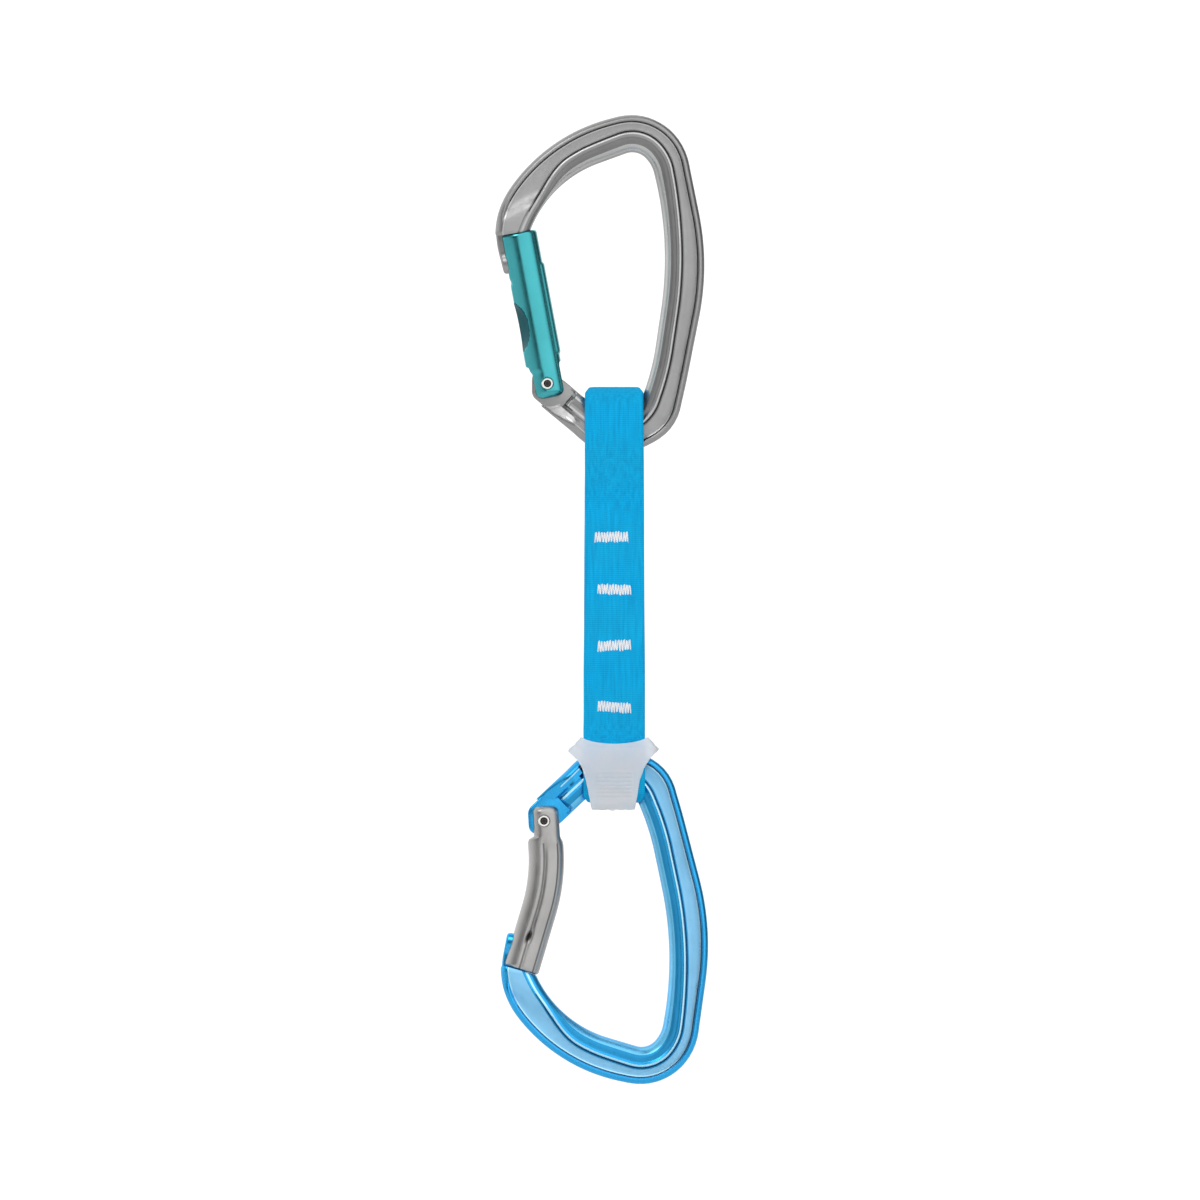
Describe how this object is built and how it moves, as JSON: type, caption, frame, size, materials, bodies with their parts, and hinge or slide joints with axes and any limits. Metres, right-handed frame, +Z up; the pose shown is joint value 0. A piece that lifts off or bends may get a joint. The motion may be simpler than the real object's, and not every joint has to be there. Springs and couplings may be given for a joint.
{
  "type": "climbing quickdraw",
  "caption": "Climbing quickdraw: a straight-gate and a bent-gate keylock carabiner on a sewn webbing sling, with a rubber positioner on the rope end.",
  "frame": {"origin": "seat in the crown of the upper carabiner, where the anchor hanger bears", "axes": "+Z up along the hanging quickdraw, +X towards the carabiner spines, -Y is the front"},
  "size_m": [0.0623, 0.0182, 0.2785],
  "materials": {
    "grey_anodised": "satin anodised",
    "teal_anodised": "polished anodised",
    "blue_anodised": "satin anodised",
    "titanium_grey_anodised": "satin anodised",
    "rivet_steel": "bright",
    "driver_steel": "turned",
    "spring_steel": "drawn wire",
    "blue_webbing": "woven, fine ribs",
    "white_thread": "sewing thread",
    "clear_rubber": "translucent, matte"
  },
  "bodies": {
    "upper_carabiner": {"upper_frame": "grey_anodised"},
    "upper_gate": {"upper_gate": "teal_anodised", "upper_gate_rivet": "rivet_steel", "upper_gate_spring": "spring_steel"},
    "upper_driver": {"upper_gate_driver": "driver_steel"},
    "upper_eye": {"webbing_upper_eye": "blue_webbing"},
    "strap": {"webbing_middle": "blue_webbing", "bar_tack_1": "white_thread", "bar_tack_2": "white_thread", "bar_tack_3": "white_thread", "bar_tack_4": "white_thread"},
    "lower_eye": {"webbing_lower_eye": "blue_webbing", "rubber_positioner": "clear_rubber"},
    "lower_carabiner": {"lower_frame": "blue_anodised"},
    "lower_gate": {"lower_gate": "titanium_grey_anodised", "lower_gate_rivet": "rivet_steel", "lower_gate_spring": "spring_steel"},
    "lower_driver": {"lower_gate_driver": "driver_steel"}
  },
  "joints": [
    {"name": "upper_gate_hinge", "type": "hinge", "parent": "upper_carabiner", "child": "upper_gate", "pos_m": [-0.0243, 0, -0.0665], "axis": [0, 1, 0], "range_deg": [0, 30], "stiffness_Nm_per_rad": 0.3, "springref_deg": -28.65},
    {"name": "upper_driver_slide", "type": "slide", "parent": "upper_gate", "child": "upper_driver", "axis": [-0.184, 0, 0.9829], "range_m": [0, 0.0013], "deforming": ["upper_gate_spring"]},
    {"name": "upper_eye_swing", "type": "hinge", "parent": "upper_carabiner", "child": "upper_eye", "pos_m": [-0.00458, 0, -0.06775], "axis": [0, 1, 0], "range_deg": [-25, 25]},
    {"name": "upper_sling_flex", "type": "hinge", "parent": "upper_eye", "child": "strap", "pos_m": [-0.0051, 0, -0.102], "axis": [1, 0, 0], "range_deg": [-75, 75], "stiffness_Nm_per_rad": 0.01},
    {"name": "lower_sling_flex", "type": "hinge", "parent": "strap", "child": "lower_eye", "pos_m": [-0.0051, 0, -0.1645], "axis": [1, 0, 0], "range_deg": [-75, 75], "stiffness_Nm_per_rad": 0.01},
    {"name": "lower_carabiner_tilt", "type": "hinge", "parent": "lower_eye", "child": "lower_carabiner", "pos_m": [-0.00569, 0, -0.18977], "axis": [0, 1, 0], "range_deg": [-10, 10], "stiffness_Nm_per_rad": 0.3},
    {"name": "lower_gate_hinge", "type": "hinge", "parent": "lower_carabiner", "child": "lower_gate", "pos_m": [-0.0253, 0, -0.1922], "axis": [0, -1, 0], "range_deg": [0, 30], "stiffness_Nm_per_rad": 0.3, "springref_deg": -28.65},
    {"name": "lower_driver_slide", "type": "slide", "parent": "lower_gate", "child": "lower_driver", "axis": [0.06, 0, -0.9982], "range_m": [0, 0.0019], "deforming": ["lower_gate_spring"]}
  ],
  "couplings": [
    {"joint": "upper_driver_slide", "follows": "upper_gate_hinge", "m_per_rad": 0.0024},
    {"joint": "lower_driver_slide", "follows": "lower_gate_hinge", "m_per_rad": 0.00355}
  ]
}
